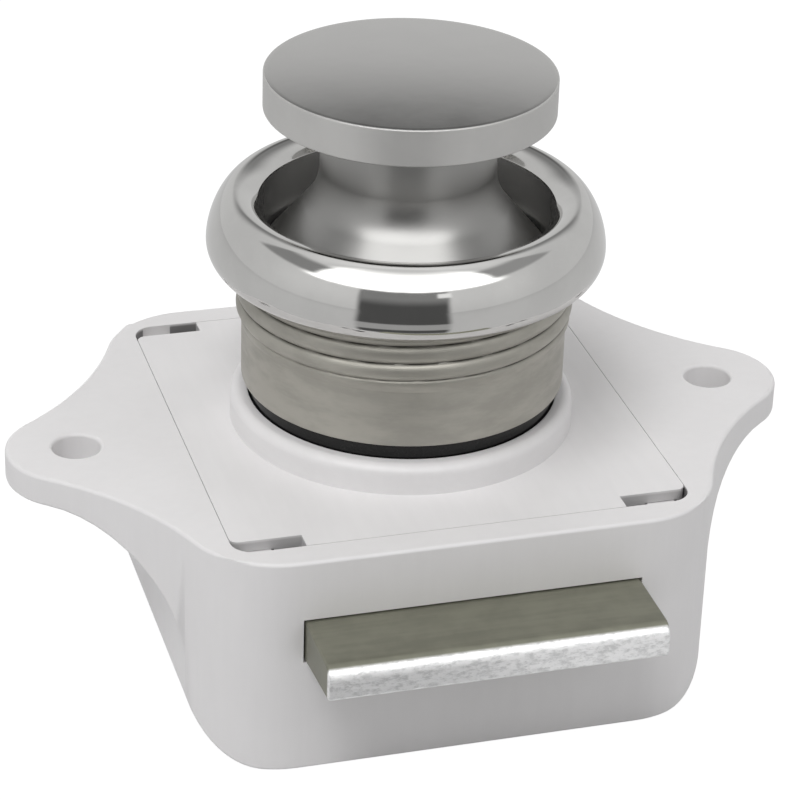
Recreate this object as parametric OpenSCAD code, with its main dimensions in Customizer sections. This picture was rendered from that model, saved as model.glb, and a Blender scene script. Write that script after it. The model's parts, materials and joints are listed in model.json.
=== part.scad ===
// Pushbutton latch for a cabinet door. The case is screwed behind the door, the threaded sleeve goes
// through a round hole in it, and the rosette clamps it from the front. The origin is on the knob's axis in
// the plane of the case's door face. +Z points to the knob and -Y to the bolt. Sizes are in millimetres.

/* [Case] */
// Width of the case, across the bolt
case_w = 40; // [38:0.5:46]
// Depth of the case, from the bolt's side to the back
case_d = 40.2; // [39:0.2:46]
// Height of the case behind the door
case_h = 17.4; // [17:0.2:24]
// Radius of the case's upright corners
case_corner_r = 7; // [4:0.5:9]
// Rounding of the two bottom edges under the ears
case_edge_r = 4.5; // [1:0.5:6]
// Thickness of the walls under the ears
side_wall = 2.85; // [2:0.05:4]
// Thickness of the wall with the bolt's slot, and of the back wall
end_wall = 2.25; // [1.6:0.05:3]
// Thickness of the floor
floor_t = 1.6; // [1:0.1:2.4]

/* [Ears] */
// Distance between the two screw holes
screw_spacing = 50; // [48:0.5:58]
// Radius of each screw hole
screw_hole_r = 1.8; // [1:0.1:2.6]
// Radius of the round end of each ear
ear_r = 5.3; // [4.5:0.1:6.5]
// Thickness of each ear
ear_t = 2.4; // [1.6:0.1:4]
// Radius of the hollow curve between an ear and a corner
ear_flank_r = 25; // [16:1:40]
// Radius of the hollow gusset under each ear
gusset_r = 8; // [4:0.5:9]

/* [Cover] */
// Thickness of the cover plate
cover_t = 1.8; // [1.4:0.1:2.6]
// Seam between the cover and the case
cover_seam = 0.05; // [0.03:0.01:0.3]
// Radius of the cover's corners
cover_corner_r = 1.6; // [0.5:0.1:3]
// Outer radius of the collar, which fits a 26 mm hole in the door
collar_r = 13; // [12.9:0.1:14]
// Thickness of the collar's wall
collar_wall = 1.3; // [0.8:0.1:1.6]
// Height of the collar above the door face
collar_h = 2.3; // [1:0.1:3]
// Rounding of the collar's outer edge
collar_round = 0.8; // [0.2:0.1:1]
// Length of each corner notch
notch_l = 4.5; // [3.5:0.1:6]
// Depth of each corner notch
notch_d = 1.55; // [1:0.05:2.2]
// Distance of each notch from the cover's side edge
notch_inset = 0.65; // [0.4:0.05:2]

/* [Sleeve and rosette] */
// Inner radius of the sleeve
sleeve_bore_r = 11; // [10.4:0.1:11.1]
// Outer radius of the sleeve's plain part
sleeve_r = 12.15; // [12:0.05:12.3]
// Height of the sleeve's lower edge
sleeve_z0 = 3.5; // [3:0.1:5]
// Height at which the thread starts
thread_z0 = 7.95; // [6:0.05:9]
// Pitch of the thread
thread_pitch = 1.4; // [1:0.1:2]
// Height of the thread's crests above its roots
thread_h = 0.32; // [0.1:0.02:0.4]
// Number of crests
thread_turns = 6; // [3:1:6]
// Height of the rosette's crest
lip_z = 18.4; // [17:0.1:20]
// Height of the rosette from its underside to its crest
rosette_h = 5.5; // [4:0.1:6]
// Outer radius of the rosette
rosette_r = 14.8; // [14:0.1:17]
// Height of the rosette's widest ring above its underside
rosette_belly = 1.65; // [1:0.05:2.5]
// Radius of the rosette's crest
crest_r = 12.7; // [12:0.1:13.4]
// Fall from the crest to the rosette's inner edge
lip_drop = 0.9; // [0.2:0.05:1.2]
// Fullness of the crown: 2 is a quarter ellipse, and less is nearer to a cone
crown_power = 1.7; // [1.4:0.1:2.4]
// Depth of the groove in which the sleeve's top sits
rosette_groove = 3.7; // [3:0.1:3.9]

/* [Knob] */
// Radius of the knob's cap
cap_r = 10.7; // [9:0.1:10.7]
// Thickness of the cap at its rim
cap_t = 2.8; // [2:0.1:4]
// Rise of the cap's domed top
cap_dome = 0.35; // [0.1:0.05:1]
// Height of the cap's top rim, with the knob out
cap_z = 27.7; // [27:0.1:30]
// Radius of the neck
neck_r = 6.5; // [6:0.1:8]
// Radius of the flange at the neck's foot
flange_r = 10.7; // [9:0.1:10.7]
// Height of the flange's top, with the knob out
flange_z = 13.7; // [13:0.1:14.5]
// Thickness of the flange
flange_t = 1.5; // [0.8:0.1:1.6]
// Slope of the flare's cone, measured from upright
flare_angle = 40; // [30:1:60]
// Radius of the curve from the neck into the cone
flare_round = 4.7; // [3:0.1:6]
// Travel of the knob from out to latched, with its cap flush with the rosette
knob_travel = 9.6; // [8:0.1:9.8]
// Extra travel of the knob when it is pressed to release it
over_travel = 0.8; // [0.4:0.1:0.9]

/* [Plunger] */
// Radius of the plunger's stem
stem_r = 6.2; // [6:0.05:6.3]
// Radius of the spring chamber
chamber_r = 4.4; // [4.2:0.05:4.4]
// Height of the chamber's roof, with the knob out
chamber_top = 7; // [5:0.1:8]
// Depth of the stem's lower end below the door face, with the knob out
stem_foot = 4.7; // [4.5:0.1:4.9]
// Radius of the plunger's keys and stop flange
key_r = 7.4; // [6.8:0.1:7.5]
// Width of each key
key_w = 3; // [2:0.1:4]
// Thickness of the stop flange
stop_t = 1; // [0.6:0.1:1.4]
// Radial clearance of the plunger in its bush
run_gap = 0.08; // [0.03:0.01:0.1]

/* [Bolt] */
// Width of the bolt
bolt_w = 25.1; // [22:0.1:25.6]
// Thickness of the bolt
bolt_t = 3.3; // [2.5:0.1:3.6]
// Depth of the bolt's upper face below the door face
bolt_top = 4.85; // [4.5:0.05:5.2]
// Length of the bolt outside the case
bolt_out = 6.5; // [4:0.1:7]
// Travel of the bolt into the case
bolt_travel = 6.5; // [3:0.1:6.5]
// Rounding of the nose's upper edge
nose_r = 1.1; // [0.4:0.1:1.6]
// Rounding of the nose's lower edge
nose_low_r = 0.3; // [0.1:0.1:0.8]
// Rise of the slope under the nose, from the case's wall to the nose
nose_slope = 0.7; // [0.2:0.1:1.2]
// Clearance of the bolt in its slot
slot_gap = 0.12; // [0.1:0.01:0.3]
// Length of each arm behind the knob's axis
arm_back = 3; // [1:0.1:4]

/* [Springs and wire] */
// Radius of the return spring's wire
return_wire_r = 0.35; // [0.2:0.01:0.35]
// Turns of the return spring
return_turns = 9; // [6:1:11]
// Radius of the bolt springs, to the middle of the wire
bolt_coil_r = 1.9; // [1.7:0.05:2]
// Radius of the bolt springs' wire
bolt_wire_r = 0.3; // [0.2:0.01:0.3]
// Turns of each bolt spring
bolt_turns = 9; // [6:1:11]
// Radius of the follower's wire
follower_wire_r = 0.35; // [0.3:0.01:0.4]
// Angle through which the follower swings
follower_swing = 6; // [4:0.5:7]
// Thickness of the leaf spring
leaf_t = 0.3; // [0.2:0.05:0.4]
// Width of the leaf spring
leaf_w = 4.6; // [4:0.1:6]

/* [Screw] */
// Radius of the knob screw's shank
screw_r = 1.5; // [1:0.1:1.6]
// Radius of the knob screw's head
screw_head_r = 2.75; // [2.4:0.05:2.9]
// Height of the knob screw's head
screw_head_h = 2; // [1.5:0.1:2.5]
// Thickness of the knob washer
washer_t = 0.5; // [0.3:0.1:0.8]

/* [Hidden] */
$fn = 96;

// Extra length of a cutter past the face that it cuts
cut = 0.5;
// Small gaps between pieces that touch or slide on each other
seat_gap = 0.05;
fit_gap = 0.03;
side_gap = 0.2;
loose_gap = 0.3;

case_hx = case_w / 2;
case_hy = case_d / 2;
floor_z = floor_t - case_h;
room_hx = case_hx - side_wall;
room_hy = case_hy - end_wall;
ear_x = screw_spacing / 2;
ear_tip = ear_x + ear_r;
arc_steps = 12;

cover_hx = room_hx - cover_seam;
cover_hy = room_hy - cover_seam;
notch_x1 = cover_hx - notch_inset;
notch_x0 = notch_x1 - notch_l;
hook_w = 2.3;
hook_top = 0.9;
hook_lip = 0.35;
hook_lip_t = 0.45;
post_w = 3.5;
post_gap = 1.175;
rib_w = 1;

bush_r = collar_r - collar_wall - seat_gap;
bush_seat = 0.6;
bush_top = 0.9;
boss_r = 9.1;
boss_z = -(cover_t + 1.4);
clip_t = 0.7;
clip_r = 10.6;
clip_depth = 0.5;

ring_r = bush_r - seat_gap;
ring_z = bush_top + seat_gap;
ring_grip = 1.2;
ring_top = sleeve_z0 + ring_grip;
rosette_z0 = lip_z - rosette_h;
groove_top = rosette_z0 + rosette_groove;
sleeve_top = groove_top - 0.1;
top_bore_r = sleeve_bore_r + 0.35;

cap_z0 = cap_z - cap_t;
knob_z0 = flange_z - flange_t;
cone_w = flange_r - neck_r - flare_round * (1 - cos(flare_angle));
flare_z = flange_z + flare_round * sin(flare_angle) + cone_w / tan(flare_angle);
spigot_r = 5;
spigot_h = 3.4;
socket_top = knob_z0 + spigot_h + 0.1;
screw_grip = 5;
screw_top = socket_top + screw_grip;

stop_z = boss_z - side_gap;
stop_z0 = stop_z - stop_t;
knob_full = knob_travel + over_travel;
key_rest = 1.2;
key_top = knob_full + stop_z + key_rest;
track_w = 5.5;
track_t = 1.4;
track_y0 = stem_r - track_t;
track_depth = 1;
track_floor = stem_r - track_depth;
groove_w = 2 * follower_wire_r + 2 * loose_gap;

pin_z = -(bolt_top + bolt_t / 2);
bolt_hx = bolt_w / 2;
bolt_z0 = -(bolt_top + bolt_t);
nose_y = -(case_hy + bolt_out);
web_y = -(key_r + loose_gap + 0.3 + bolt_travel);
arm_x0 = key_r + side_gap + 0.4;
arm_mid = (arm_x0 + bolt_hx) / 2;
post_x0 = arm_mid + bolt_coil_r + bolt_wire_r + post_gap;
pin_r = 1.2;
pin_in = 4;
pin_out = 3.5;
rail_x0 = bolt_hx - 1.65;
rail_x1 = bolt_hx - 0.1;
guide_x0 = bolt_hx + 0.1;
guide_t = 0.95;
rail_y1 = arm_back - 0.5;

leg_gap = 0.65;
follower_y = stem_r + follower_wire_r + leg_gap;
tip_gap = 0.25;
follower_z = boss_z - follower_wire_r - tip_gap;
pivot_h = 1.8;
pivot_z = floor_z + pivot_h;
lug_y0 = follower_y + follower_wire_r + leg_gap;
lug_t = 1.8;
lug_w = 3.2;
lug_wall = 1.4;
lug_top = pivot_z + lug_wall;
follower_l = follower_z - pivot_z;
deep_x = follower_l * sin(follower_swing);
deep_z = pivot_z + follower_l * cos(follower_swing) + knob_full;

return_coil_r = chamber_r - loose_gap - return_wire_r;
return_pin_r = return_coil_r - return_wire_r - 0.5;
return_pin_h = 3.3;
leaf_foot = 3;
leaf_rise = 3.2;
leaf_tip = 2.6;
leaf_gap = 0.12;
bend_gap = 0.3;
tube_sides = 6;
tube_rings = 8;

// Points along an arc, from angle a0 to angle a1
function arc(c, r, a0, a1, n = arc_steps) =
    [for (i = [0 : n]) let (a = a0 + (a1 - a0) * i / n) [c[0] + r * cos(a), c[1] + r * sin(a)]];

// The same points from the last to the first, and mirrored left to right or front to back
function reversed(p) = [for (i = [len(p) - 1 : -1 : 0]) p[i]];
function flip_x(p) = [for (q = reversed(p)) [-q[0], q[1]]];
function flip_y(p) = [for (q = reversed(p)) [q[0], -q[1]]];

// Centre of the hollow flank circle that touches the ear's round end and the case's corner
function flank_centre() =
    let (e = [ear_x, 0],
         k = [case_hx - case_corner_r, case_hy - case_corner_r],
         d = norm(k - e),
         u = (k - e) / d,
         re = ear_flank_r + ear_r,
         rk = ear_flank_r + case_corner_r,
         a = (re * re - rk * rk + d * d) / (2 * d),
         h = sqrt(re * re - a * a))
    e + a * u + h * [u[1], -u[0]];

// One quarter of the case's outline, from the ear's tip to the middle of the back edge
function case_quarter() =
    let (e = [ear_x, 0],
         k = [case_hx - case_corner_r, case_hy - case_corner_r],
         f = flank_centre(),
         ae = atan2(f[1] - e[1], f[0] - e[0]),
         ak = atan2(f[1] - k[1], f[0] - k[0]))
    concat(arc(e, ear_r, 0, ae),
           arc(f, ear_flank_r, ae + 180, ak + 180),
           arc(k, case_corner_r, ak, 90));

module case_outline() {
    back = concat(case_quarter(), flip_x(case_quarter()));
    polygon(concat(back, flip_y(back)));
}

// Side view of the case and ears: flat ears, hollow gussets and rounded bottom edges
module case_side() {
    right = concat(
        [[ear_tip + cut, cut], [ear_tip + cut, -ear_t]],
        arc([case_hx + gusset_r, -ear_t - gusset_r], gusset_r, 90, 180),
        arc([case_hx - case_edge_r, case_edge_r - case_h], case_edge_r, 0, -90));
    polygon(concat(right, flip_x(right)));
}

module rounded_plate(hx, hy, r, h) {
    linear_extrude(h) polygon(concat(
        arc([hx - r, hy - r], r, 0, 90), arc([r - hx, hy - r], r, 90, 180),
        arc([r - hx, r - hy], r, 180, 270), arc([hx - r, r - hy], r, 270, 360)));
}

// A block from one corner to the opposite one
module block(a, b) {
    translate([min(a[0], b[0]), min(a[1], b[1]), min(a[2], b[2])])
        cube([abs(b[0] - a[0]), abs(b[1] - a[1]), abs(b[2] - a[2])]);
}

module at_corners() {
    for (sx = [-1, 1], sy = [-1, 1]) scale_sign(sx, sy) children();
}

module scale_sign(sx, sy) {
    mirror([sx < 0 ? 1 : 0, 0, 0]) mirror([0, sy < 0 ? 1 : 0, 0]) children();
}

module left_and_right() {
    children();
    mirror([1, 0, 0]) children();
}

module tube(r_out, r_in, z0, z1) {
    difference() {
        translate([0, 0, z0]) cylinder(h = z1 - z0, r = r_out);
        translate([0, 0, z0 - cut]) cylinder(h = z1 - z0 + 2 * cut, r = r_in);
    }
}

module rod_y(x, z, r, y0, y1) {
    translate([x, y0, z]) rotate([-90, 0, 0]) cylinder(h = y1 - y0, r = r);
}

// A wire wound along Z from z0 to z1, as one closed tube of rings square to the path
module coil(r, wire_r, turns, z0, z1) {
    n = turns * tube_rings;
    rise = z1 - z0 - 2 * wire_r;
    slope = atan2(rise / turns, 2 * PI * r);
    points = [for (i = [0 : n], j = [0 : tube_sides - 1])
        let (a = 360 * i / tube_rings,
             b = 360 * j / tube_sides,
             out = r + wire_r * cos(b),
             side = -wire_r * sin(b) * sin(slope))
        [out * cos(a) - side * sin(a), out * sin(a) + side * cos(a),
         z0 + wire_r + rise * i / n + wire_r * sin(b) * cos(slope)]];
    sides = [for (i = [0 : n - 1], j = [0 : tube_sides - 1])
        let (a = i * tube_sides + j,
             b = i * tube_sides + (j + 1) % tube_sides)
        each [[a, a + tube_sides, b], [b, a + tube_sides, b + tube_sides]]];
    first = [for (j = [0 : tube_sides - 1]) j];
    last = [for (j = [tube_sides - 1 : -1 : 0]) n * tube_sides + j];
    polyhedron(points, concat(sides, [first, last]));
}

module housing() color("gainsboro") {
    difference() {
        intersection() {
            translate([0, 0, -case_h]) linear_extrude(case_h) case_outline();
            translate([0, case_hy + cut, 0]) rotate([90, 0, 0])
                linear_extrude(case_d + 2 * cut) case_side();
        }
        translate([0, 0, floor_z]) rounded_plate(room_hx, room_hy, cover_corner_r, case_h);
        left_and_right() translate([ear_x, 0, -ear_t - gusset_r])
            cylinder(h = ear_t + gusset_r + cut, r = screw_hole_r);
        block([-bolt_hx - slot_gap, -case_hy - cut, bolt_z0 - slot_gap],
              [bolt_hx + slot_gap, -room_hy + cut, slot_gap - bolt_top]);
    }
    housing_posts();
    housing_rails();
    translate([0, 0, floor_z]) cylinder(h = return_pin_h, r = return_pin_r);
    housing_lug();
}

// Corner posts under the cover, and the hooks that snap into its notches
module housing_posts() {
    at_corners() {
        block([post_x0, room_hy - post_w, floor_z], [room_hx + cut, room_hy + 0.1, -cover_t]);
        block([notch_x1 - hook_w, room_hy - notch_d + side_gap, -cover_t - cut],
              [notch_x1 - side_gap, room_hy + 0.1, -hook_top]);
        block([notch_x1 - hook_w, room_hy - notch_d - hook_lip + seat_gap, -hook_top - hook_lip_t],
              [notch_x1 - side_gap, room_hy, -hook_top]);
    }
}

// Rails under the bolt's arms, with guides beside them
module housing_rails() {
    left_and_right() {
        block([rail_x0, -room_hy - 0.1, floor_z - 0.1], [guide_x0 + guide_t, rail_y1, bolt_z0 - 0.1]);
        block([guide_x0, -room_hy - 0.1, floor_z - 0.1], [guide_x0 + guide_t, rail_y1, 0.2 - bolt_top]);
    }
}

// Lug in which the follower turns
module housing_lug() {
    difference() {
        block([-lug_w / 2, lug_y0, floor_z - 0.1], [lug_w / 2, lug_y0 + lug_t, lug_top]);
        rod_y(0, pivot_z, follower_wire_r + run_gap, lug_y0 - cut, lug_y0 + lug_t + cut);
    }
}

module cover() color("whitesmoke") {
    difference() {
        union() {
            translate([0, 0, -cover_t]) rounded_plate(cover_hx, cover_hy, cover_corner_r, cover_t);
            rotate_extrude() polygon(concat([[0, -cover_t], [collar_r, -cover_t]],
                arc([collar_r - collar_round, collar_h - collar_round], collar_round, 0, 90, 6), [[0, collar_h]]));
            left_and_right() block([rail_x0, 1 - room_hy, 0.1 - bolt_top], [rail_x0 + rib_w, web_y, 0.1 - cover_t]);
        }
        translate([0, 0, -bush_seat]) cylinder(h = bush_seat + collar_h + cut, r = bush_r + seat_gap);
        translate([0, 0, -cover_t - cut]) cylinder(h = cover_t + 2 * cut, r = boss_r + seat_gap);
        at_corners() {
            block([notch_x0, room_hy - notch_d, -cover_t - cut], [notch_x1, room_hy + cut, cut]);
            block([notch_x1 - hook_w - side_gap, room_hy - notch_d - hook_lip, -hook_top - hook_lip_t - seat_gap],
                  [notch_x1, room_hy, seat_gap - hook_top]);
        }
    }
}

module guide_bush() color("dimgray") {
    difference() {
        union() {
            translate([0, 0, -bush_seat]) cylinder(h = bush_seat + bush_top, r = bush_r);
            translate([0, 0, boss_z]) cylinder(h = -boss_z, r = boss_r);
        }
        translate([0, 0, boss_z - cut]) cylinder(h = bush_top - boss_z + 2 * cut, r = stem_r + run_gap);
        block([-key_r - side_gap, -key_w / 2 - side_gap, boss_z - cut],
              [key_r + side_gap, key_w / 2 + side_gap, bush_top + cut]);
        tube(boss_r + cut, boss_r - clip_depth, -cover_t - clip_t - 2 * seat_gap, -cover_t);
    }
}

// Open ring in the bush's groove, under the cover
module bush_clip() color("silver") difference() {
    tube(clip_r, boss_r - clip_depth + seat_gap, -cover_t - clip_t - seat_gap, -cover_t - seat_gap);
    block([-1.6, 0, -cover_t - 2 * clip_t], [1.6, clip_r + cut, cut - cover_t]);
}

// Ring on the bush that carries the sleeve, in a step of the sleeve's bore
module seal_ring() color("black")
    tube(ring_r, sleeve_bore_r + seat_gap, ring_z, ring_top - seat_gap);

// Rounded crests, from the lowest root up
function thread_profile() =
    [for (i = [0 : thread_turns * 6]) let (u = i / 6)
        [sleeve_r + thread_h * abs(sin(180 * u)), thread_z0 + u * thread_pitch]];

module threaded_sleeve() color("darkkhaki") difference() {
    rotate_extrude() polygon(concat(
        [[sleeve_bore_r, ring_top], [ring_r + seat_gap, ring_top],
         [ring_r + seat_gap, sleeve_z0], [sleeve_r, sleeve_z0]],
        [for (p = thread_profile()) if (p[1] < sleeve_top) p],
        [[sleeve_r, sleeve_top], [top_bore_r, sleeve_top],
         [top_bore_r, rosette_z0 + 0.2], [sleeve_bore_r, rosette_z0 + 0.2]]));
}

// A rounded crown that falls from its crest to the inner edge, over a groove for the sleeve's top
module rosette() color("lightgray") {
    belly_z = rosette_z0 + rosette_belly;
    skin = thread_h + 0.05;
    crown = [for (a = [0 : 7.5 : 90])
        [crest_r + (rosette_r - crest_r) * pow(cos(a), 2 / crown_power),
         belly_z + (lip_z - belly_z) * pow(sin(a), 2 / crown_power)]];
    fall = [for (i = [1 : 6]) let (u = i / 6)
        [crest_r - (crest_r - sleeve_bore_r) * u, lip_z - lip_drop * u * u]];
    hem = [for (a = [-55 : 11 : -1])
        [rosette_r - 2.2 * (1 - cos(a)), belly_z + rosette_belly * sin(a) / sin(55)]];
    rotate_extrude() polygon(concat(
        [[sleeve_bore_r, rosette_z0 + 0.3], [top_bore_r - seat_gap, rosette_z0 + 0.3],
         [top_bore_r - seat_gap, groove_top], [sleeve_r + skin, groove_top],
         [sleeve_r + skin, rosette_z0]],
        hem, crown, fall));
}

module knob() color("silver") difference() {
    rotate_extrude() polygon(concat(
        [[0, knob_z0], [flange_r, knob_z0], [flange_r, flange_z]],
        reversed(arc([neck_r + flare_round, flare_z], flare_round, 180, 180 + flare_angle)),
        arc([neck_r + 1.2, cap_z0 - 1.2], 1.2, 180, 90, 6),
        [[cap_r, cap_z0]],
        [for (i = [0 : 8]) let (u = 1 - i / 8) [cap_r * u, cap_z + cap_dome * (1 - u * u)]]));
    translate([0, 0, knob_z0 - cut]) cylinder(h = socket_top - knob_z0 + cut, r = spigot_r + fit_gap);
    cylinder(h = screw_top + 0.5, r = screw_r + fit_gap);
}

module knob_screw() color("slategray") {
    head_z = chamber_top - washer_t - screw_head_h;
    difference() {
        union() {
            translate([0, 0, head_z]) cylinder(h = screw_head_h, r = screw_head_r);
            translate([0, 0, head_z]) cylinder(h = screw_top - head_z, r = screw_r);
        }
        for (turn = [0, 90]) rotate(turn)
            block([-1.5, -0.3, head_z - cut], [1.5, 0.3, head_z + 1]);
    }
}

module knob_washer() color("lightslategray")
    tube(screw_head_r + 0.25, screw_r + 0.15, chamber_top - washer_t, chamber_top);

module plunger() color("ivory") difference() {
    union() {
        translate([0, 0, -stem_foot]) cylinder(h = stem_foot + knob_z0, r = stem_r);
        cylinder(h = knob_z0 + spigot_h, r = spigot_r);
        intersection() {
            translate([0, 0, stop_z0]) cylinder(h = key_top - stop_z0, r = key_r);
            block([-key_r, -key_w / 2, stop_z0], [key_r, key_w / 2, key_top]);
        }
        intersection() {
            translate([0, 0, stop_z0]) cylinder(h = stop_t, r = key_r);
            block([-key_r, -key_r, stop_z0], [key_r, track_y0 - loose_gap, stop_z]);
        }
    }
    translate([0, 0, -stem_foot - cut]) cylinder(h = chamber_top + stem_foot + cut, r = chamber_r);
    cylinder(h = knob_z0 + spigot_h + cut, r = screw_r + 0.1);
    block([-track_w / 2, track_y0, -stem_foot - cut], [track_w / 2, stem_r + cut, key_top]);
}

// A straight stretch of the track's groove with round ends, between two points of its face
module lane(a, b) {
    turn = atan2(b[1] - a[1], b[0] - a[0]);
    polygon(concat(arc(b, groove_w / 2, turn - 90, turn + 90, 8), arc(a, groove_w / 2, turn + 90, turn + 270, 8)));
}

// The groove is a heart-shaped loop. The wire's tip goes up one side, rests in the notch at the top
// while the knob is latched, and comes down the other side.
module cam_track() color("tan") {
    start = [0, follower_z];
    deep = [deep_x, deep_z];
    hold = [0.1 * deep_x, deep_z - over_travel];
    left_top = [-1.3 * deep_x, deep_z];
    difference() {
        intersection() {
            translate([0, 0, -stem_foot]) cylinder(h = key_top + stem_foot - seat_gap, r = stem_r);
            block([-track_w / 2 + fit_gap, track_y0 + fit_gap, -stem_foot],
                  [track_w / 2 - fit_gap, stem_r + cut, key_top]);
        }
        translate([0, stem_r + cut, 0]) rotate([90, 0, 0]) linear_extrude(stem_r + cut - track_floor) {
            lane(start, deep);
            lane(deep, hold);
            lane(hold, left_top);
            lane(left_top, start);
        }
    }
}

module return_spring() color("lightsteelblue")
    coil(return_coil_r, return_wire_r, return_turns, floor_z + seat_gap, chamber_top - seat_gap);

// Bent wire: a pivot in the housing's lug, an upright leg and a tip in the track
module cam_follower() color("steelblue") {
    rod_y(0, pivot_z, follower_wire_r, follower_y, lug_y0 + lug_t);
    translate([0, follower_y, pivot_z]) sphere(r = follower_wire_r);
    translate([0, follower_y, pivot_z]) cylinder(h = follower_l, r = follower_wire_r);
    translate([0, follower_y, follower_z]) sphere(r = follower_wire_r);
    rod_y(0, follower_z, follower_wire_r, track_floor + side_gap, follower_y);
}

// Leaf spring on the floor behind the lug, which keeps the wire's tip in the track
module follower_clip() color("lightgray") {
    back_y = lug_y0 + lug_t + seat_gap;
    front_y = follower_y + follower_wire_r + leaf_gap;
    bend_z = lug_top + bend_gap;
    touch_z = bend_z + leaf_rise;
    translate([-leaf_w / 2, 0, 0]) rotate([90, 0, 90]) linear_extrude(leaf_w) polygon([
        [back_y + leaf_foot, floor_z], [back_y + leaf_foot, floor_z + leaf_t], [back_y + leaf_t, floor_z + leaf_t],
        [back_y + leaf_t, bend_z + leaf_t], [front_y + leaf_t, touch_z], [front_y + leaf_t, touch_z + leaf_tip],
        [front_y, touch_z + leaf_tip], [front_y, touch_z - leaf_t / 2], [back_y, bend_z], [back_y, floor_z]
    ]);
}

// U-shaped plate: a solid nose in front of the plunger and an arm on each side of it
module bolt() color("darkgray") difference() {
    intersection() {
        translate([0, 0, bolt_z0]) linear_extrude(bolt_t) polygon([
            [-bolt_hx, nose_y], [bolt_hx, nose_y], [bolt_hx, arm_back], [arm_x0, arm_back],
            [arm_x0, web_y], [-arm_x0, web_y], [-arm_x0, arm_back], [-bolt_hx, arm_back]
        ]);
        translate([-bolt_hx - cut, 0, 0]) rotate([90, 0, 90]) linear_extrude(bolt_w + 2 * cut) polygon(concat(
            [[arm_back + cut, bolt_z0], [arm_back + cut, -bolt_top]],
            arc([nose_y + nose_r, -bolt_top - nose_r], nose_r, 90, 180, 8),
            arc([nose_y + nose_low_r, bolt_z0 + nose_slope + nose_low_r], nose_low_r, 180, 260, 4),
            [[-case_hy, bolt_z0]]));
    }
    left_and_right() rod_y(arm_mid, pin_z, pin_r + fit_gap, arm_back - pin_in, arm_back + cut);
}

module spring_pin() rod_y(arm_mid, pin_z, pin_r, arm_back - pin_in + seat_gap, arm_back + pin_out);
module spring_pin_left() color("gray") mirror([1, 0, 0]) spring_pin();
module spring_pin_right() color("gray") spring_pin();

module bolt_spring() translate([arm_mid, 0, pin_z]) rotate([-90, 0, 0])
    coil(bolt_coil_r, bolt_wire_r, bolt_turns, arm_back + seat_gap, room_hy - seat_gap);
module bolt_spring_left() color("lightsteelblue") mirror([1, 0, 0]) bolt_spring();
module bolt_spring_right() color("lightsteelblue") bolt_spring();

housing();
cover();
guide_bush();
bush_clip();
seal_ring();
threaded_sleeve();
rosette();
knob();
knob_screw();
knob_washer();
plunger();
cam_track();
return_spring();
cam_follower();
follower_clip();
bolt();
spring_pin_left();
spring_pin_right();
bolt_spring_left();
bolt_spring_right();
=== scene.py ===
"""Looks of a pushbutton latch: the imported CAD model, dressed in moulded plastic, chrome and steel.

Sizes are in millimetres in the model's own frame: the origin is on the knob's axis in the plane of the
door face, +Z points to the knob and -Y to the bolt. They turn into metres where a mesh is made.
"""

import json
import logging
import math
from dataclasses import dataclass
from enum import Enum
from functools import reduce
from typing import Callable, Iterable, Sequence

import bmesh
import bpy
from mathutils import Matrix, Vector

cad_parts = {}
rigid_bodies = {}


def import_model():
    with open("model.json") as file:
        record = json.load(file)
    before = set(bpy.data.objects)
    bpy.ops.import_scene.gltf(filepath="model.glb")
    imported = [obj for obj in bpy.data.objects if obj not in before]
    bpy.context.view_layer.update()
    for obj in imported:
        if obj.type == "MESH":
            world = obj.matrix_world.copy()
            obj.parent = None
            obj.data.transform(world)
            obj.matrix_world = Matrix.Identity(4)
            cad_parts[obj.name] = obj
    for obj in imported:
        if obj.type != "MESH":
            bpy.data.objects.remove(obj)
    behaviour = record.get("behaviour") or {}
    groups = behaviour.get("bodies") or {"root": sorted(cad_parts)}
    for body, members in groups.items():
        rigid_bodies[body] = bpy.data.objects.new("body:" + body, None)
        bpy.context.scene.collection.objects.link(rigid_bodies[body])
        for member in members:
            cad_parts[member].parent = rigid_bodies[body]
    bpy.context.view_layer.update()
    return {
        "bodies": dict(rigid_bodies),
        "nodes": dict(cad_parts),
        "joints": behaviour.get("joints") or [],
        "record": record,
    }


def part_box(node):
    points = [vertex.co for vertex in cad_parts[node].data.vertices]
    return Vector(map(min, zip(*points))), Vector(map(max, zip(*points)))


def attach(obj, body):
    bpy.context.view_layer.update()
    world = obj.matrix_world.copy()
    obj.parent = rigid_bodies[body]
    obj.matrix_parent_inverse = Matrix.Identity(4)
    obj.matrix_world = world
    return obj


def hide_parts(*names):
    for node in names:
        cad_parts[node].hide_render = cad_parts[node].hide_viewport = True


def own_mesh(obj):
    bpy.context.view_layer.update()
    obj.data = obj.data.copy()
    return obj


MM = 0.001
MERGE_MM = 0.004
FLAT_DEGREES = 0.4
SIDE_SHARE = 0.49
BRIGHT_STEPS = 256
TINY = 1e-6
LOG = logging.getLogger("latch")

Point = tuple[float, float]
Colour = tuple[float, float, float]
Edge = bmesh.types.BMEdge
Mesh = bmesh.types.BMesh
Node = bpy.types.Node
Piece = bpy.types.Object
Socket = bpy.types.NodeSocket
WHITE = (1.0, 1.0, 1.0)


class Body(Enum):
    """Bodies of the model, as its joints name them."""

    CASE = "case"
    BUTTON = "button"
    BOLT = "bolt_body"


class Slot(Enum):
    """Material slots of the record, passed along with each new piece's finish."""

    CASE = "case_plastic"
    COVER = "cover_plastic"
    RUBBER = "black_rubber"
    NICKEL = "turned_nickel"
    CHROME = "polished_chrome"
    SPRING = "spring_steel"
    ZINC = "zinc_steel"


class Direction(Enum):
    """Axis along which a finish has its lines."""

    Y = (0.0, 1.0, 0.0)
    Z = (0.0, 0.0, 1.0)


def toned(colour: Colour, share: float) -> Colour:
    """Gives a colour with each part multiplied, and none over 1."""
    return tuple(min(1.0, part * share) for part in colour)


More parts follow.
